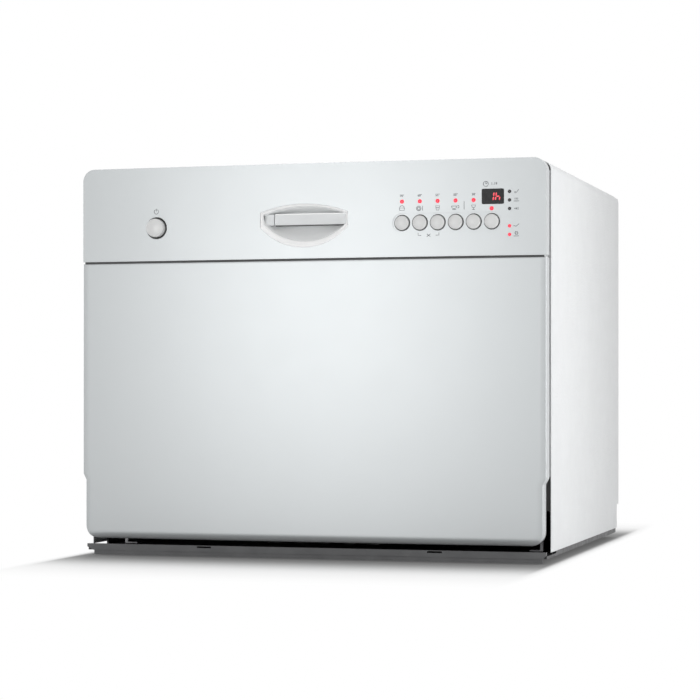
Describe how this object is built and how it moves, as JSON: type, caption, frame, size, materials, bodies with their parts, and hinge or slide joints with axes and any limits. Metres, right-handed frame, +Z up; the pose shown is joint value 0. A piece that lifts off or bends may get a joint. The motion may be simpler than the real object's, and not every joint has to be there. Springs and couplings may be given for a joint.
{
  "type": "countertop dishwasher",
  "caption": "Compact box-shaped dishwasher with a bowed drop-down door, recessed grip, button row, display and a pull-out wire rack in a steel tub.",
  "frame": {"origin": "centre of the footprint on the surface it stands on", "axes": "+X right seen from the front, front faces -Y, +Z up"},
  "size_m": [0.545, 0.5268, 0.447],
  "materials": {
    "silver_front": "satin silver-white lacquer",
    "white_steel": "fine orange-peel white paint",
    "rear_plastic": "matt white moulding",
    "gray_plastic": "matt",
    "dark_plastic": "matt",
    "dark_rubber": "matt",
    "pale_plastic": "satin",
    "mid_plastic": "satin",
    "white_plastic": "satin",
    "blue_plastic": "satin",
    "tub_steel": "fine brushed",
    "dark_steel": "heat-darkened",
    "zinc_steel": "zinc plated",
    "felt": "bitumen-backed felt",
    "board_green": "lacquered board",
    "black_window": "clear over black",
    "red_lamp": "lit red",
    "button_white": "gloss",
    "rack_coating": "nylon coating on wire"
  },
  "bodies": {
    "cabinet": {"base_tray": "gray_plastic", "plinth": "gray_plastic", "cabinet_wrap": "white_steel", "rear_cover": "rear_plastic", "feet": "dark_rubber", "tub_wrap": "tub_steel", "tub_back": "tub_steel", "tub_floor": "tub_steel", "tub_front_frame": "tub_steel", "door_gasket": "dark_rubber", "rack_rails": "pale_plastic", "sump": "dark_plastic", "filter_plate": "tub_steel", "heater": "dark_steel", "wash_pump": "dark_plastic", "drain_pump": "dark_plastic", "water_softener": "white_plastic", "inlet_valve": "dark_plastic", "drain_spigot": "gray_plastic", "cable_gland": "dark_plastic", "air_break_chamber": "pale_plastic", "insulation_pad": "felt", "door_strike": "zinc_steel", "hinge_brackets": "zinc_steel", "spray_bearing": "pale_plastic"},
    "door": {"door_skin": "silver_front", "control_fascia": "silver_front", "door_liner": "tub_steel", "handle_pocket": "silver_front", "dispenser_body": "pale_plastic", "hinge_arms": "zinc_steel", "control_board": "board_green", "display_module": "dark_plastic", "display_window": "black_window", "program_lamps": "red_lamp", "status_lamps": "red_lamp", "switch_carrier": "pale_plastic"},
    "rack": {"rack_basket": "rack_coating", "plate_tines": "rack_coating", "rack_grip": "pale_plastic"},
    "power_button": {"power_button": "button_white"},
    "program_button_1": {"program_button_1": "button_white"},
    "program_button_2": {"program_button_2": "button_white"},
    "program_button_3": {"program_button_3": "button_white"},
    "program_button_4": {"program_button_4": "button_white"},
    "program_button_5": {"program_button_5": "button_white"},
    "program_button_6": {"program_button_6": "button_white"},
    "handle_flap": {"handle_flap": "silver_front"},
    "latch_hook": {"latch_hook": "dark_plastic"},
    "dispenser_lid": {"dispenser_lid": "mid_plastic"},
    "rinse_cap": {"rinse_cap": "blue_plastic"},
    "rack_wheel_1": {"rack_wheel_1": "mid_plastic"},
    "rack_wheel_2": {"rack_wheel_2": "mid_plastic"},
    "rack_wheel_3": {"rack_wheel_3": "mid_plastic"},
    "rack_wheel_4": {"rack_wheel_4": "mid_plastic"},
    "cutlery_basket": {"cutlery_basket": "mid_plastic"},
    "cup_shelf": {"cup_shelf": "rack_coating"},
    "spray_arm": {"spray_arm": "tub_steel"},
    "micro_filter": {"micro_filter": "pale_plastic"},
    "salt_cap": {"salt_cap": "white_plastic"}
  },
  "joints": [
    {"name": "door_hinge", "type": "hinge", "parent": "cabinet", "child": "door", "pos_m": [0, -0.233, 0.052], "axis": [1, 0, 0], "range_deg": [0, 90], "stiffness_Nm_per_rad": 4},
    {"name": "rack_slide", "type": "slide", "parent": "cabinet", "child": "rack", "axis": [0, -1, 0], "range_m": [0, 0.158]},
    {"name": "wheel_turn_1", "type": "hinge", "parent": "rack", "child": "rack_wheel_1", "pos_m": [-0.2185, -0.085, 0.0933], "axis": [1, 0, 0], "range_deg": [0, 695]},
    {"name": "wheel_turn_2", "type": "hinge", "parent": "rack", "child": "rack_wheel_2", "pos_m": [0.2185, -0.085, 0.0933], "axis": [1, 0, 0], "range_deg": [0, 695]},
    {"name": "wheel_turn_3", "type": "hinge", "parent": "rack", "child": "rack_wheel_3", "pos_m": [-0.2185, 0.145, 0.0933], "axis": [1, 0, 0], "range_deg": [0, 695]},
    {"name": "wheel_turn_4", "type": "hinge", "parent": "rack", "child": "rack_wheel_4", "pos_m": [0.2185, 0.145, 0.0933], "axis": [1, 0, 0], "range_deg": [0, 695]},
    {"name": "cutlery_lift", "type": "slide", "parent": "rack", "child": "cutlery_basket", "axis": [0, 0, 1], "range_m": [0, 0.13]},
    {"name": "cup_shelf_fold", "type": "hinge", "parent": "rack", "child": "cup_shelf", "pos_m": [-0.2, -0.003, 0.262], "axis": [0, -1, 0], "range_deg": [0, 90]},
    {"name": "spray_arm_turn", "type": "hinge", "parent": "cabinet", "child": "spray_arm", "pos_m": [0, -0.01, 0.084], "axis": [0, 0, 1], "continuous": true},
    {"name": "filter_turn", "type": "hinge", "parent": "cabinet", "child": "micro_filter", "pos_m": [-0.088, -0.01, 0.066], "axis": [0, 0, 1], "range_deg": [0, 90]},
    {"name": "salt_cap_turn", "type": "hinge", "parent": "cabinet", "child": "salt_cap", "pos_m": [-0.15, 0.117, 0.07], "axis": [0, 0, 1], "continuous": true},
    {"name": "dispenser_slide", "type": "slide", "parent": "door", "child": "dispenser_lid", "axis": [1, 0, 0], "range_m": [0, 0.03]},
    {"name": "rinse_cap_turn", "type": "hinge", "parent": "door", "child": "rinse_cap", "pos_m": [0.058, -0.205, 0.265], "axis": [0, 1, 0], "range_deg": [0, 90]},
    {"name": "grip_tilt", "type": "hinge", "parent": "door", "child": "handle_flap", "pos_m": [-0.0035, -0.248, 0.389], "axis": [1, 0, 0], "range_deg": [0, 20], "stiffness_Nm_per_rad": 0.05, "springref_deg": -11.46},
    {"name": "latch_lift", "type": "hinge", "parent": "door", "child": "latch_hook", "pos_m": [0, -0.247, 0.4335], "axis": [1, 0, 0], "range_deg": [0, 8]},
    {"name": "power_press", "type": "slide", "parent": "door", "child": "power_button", "axis": [0, 1, 0], "range_m": [0, 0.004], "stiffness_N_per_m": 400, "springref_m": -0.001},
    {"name": "program_press_1", "type": "slide", "parent": "door", "child": "program_button_1", "axis": [0, 1, 0], "range_m": [0, 0.002], "stiffness_N_per_m": 400, "springref_m": -0.001},
    {"name": "program_press_2", "type": "slide", "parent": "door", "child": "program_button_2", "axis": [0, 1, 0], "range_m": [0, 0.002], "stiffness_N_per_m": 400, "springref_m": -0.001},
    {"name": "program_press_3", "type": "slide", "parent": "door", "child": "program_button_3", "axis": [0, 1, 0], "range_m": [0, 0.002], "stiffness_N_per_m": 400, "springref_m": -0.001},
    {"name": "program_press_4", "type": "slide", "parent": "door", "child": "program_button_4", "axis": [0, 1, 0], "range_m": [0, 0.002], "stiffness_N_per_m": 400, "springref_m": -0.001},
    {"name": "program_press_5", "type": "slide", "parent": "door", "child": "program_button_5", "axis": [0, 1, 0], "range_m": [0, 0.002], "stiffness_N_per_m": 400, "springref_m": -0.001},
    {"name": "program_press_6", "type": "slide", "parent": "door", "child": "program_button_6", "axis": [0, 1, 0], "range_m": [0, 0.002], "stiffness_N_per_m": 400, "springref_m": -0.001}
  ],
  "couplings": [
    {"joint": "rack_slide", "follows": "door_hinge", "m_per_rad": 0.1},
    {"joint": "wheel_turn_1", "follows": "door_hinge", "ratio": 7.6923},
    {"joint": "wheel_turn_2", "follows": "door_hinge", "ratio": 7.6923},
    {"joint": "wheel_turn_3", "follows": "door_hinge", "ratio": 7.6923},
    {"joint": "wheel_turn_4", "follows": "door_hinge", "ratio": 7.6923},
    {"joint": "latch_lift", "follows": "grip_tilt", "ratio": 0.4}
  ]
}
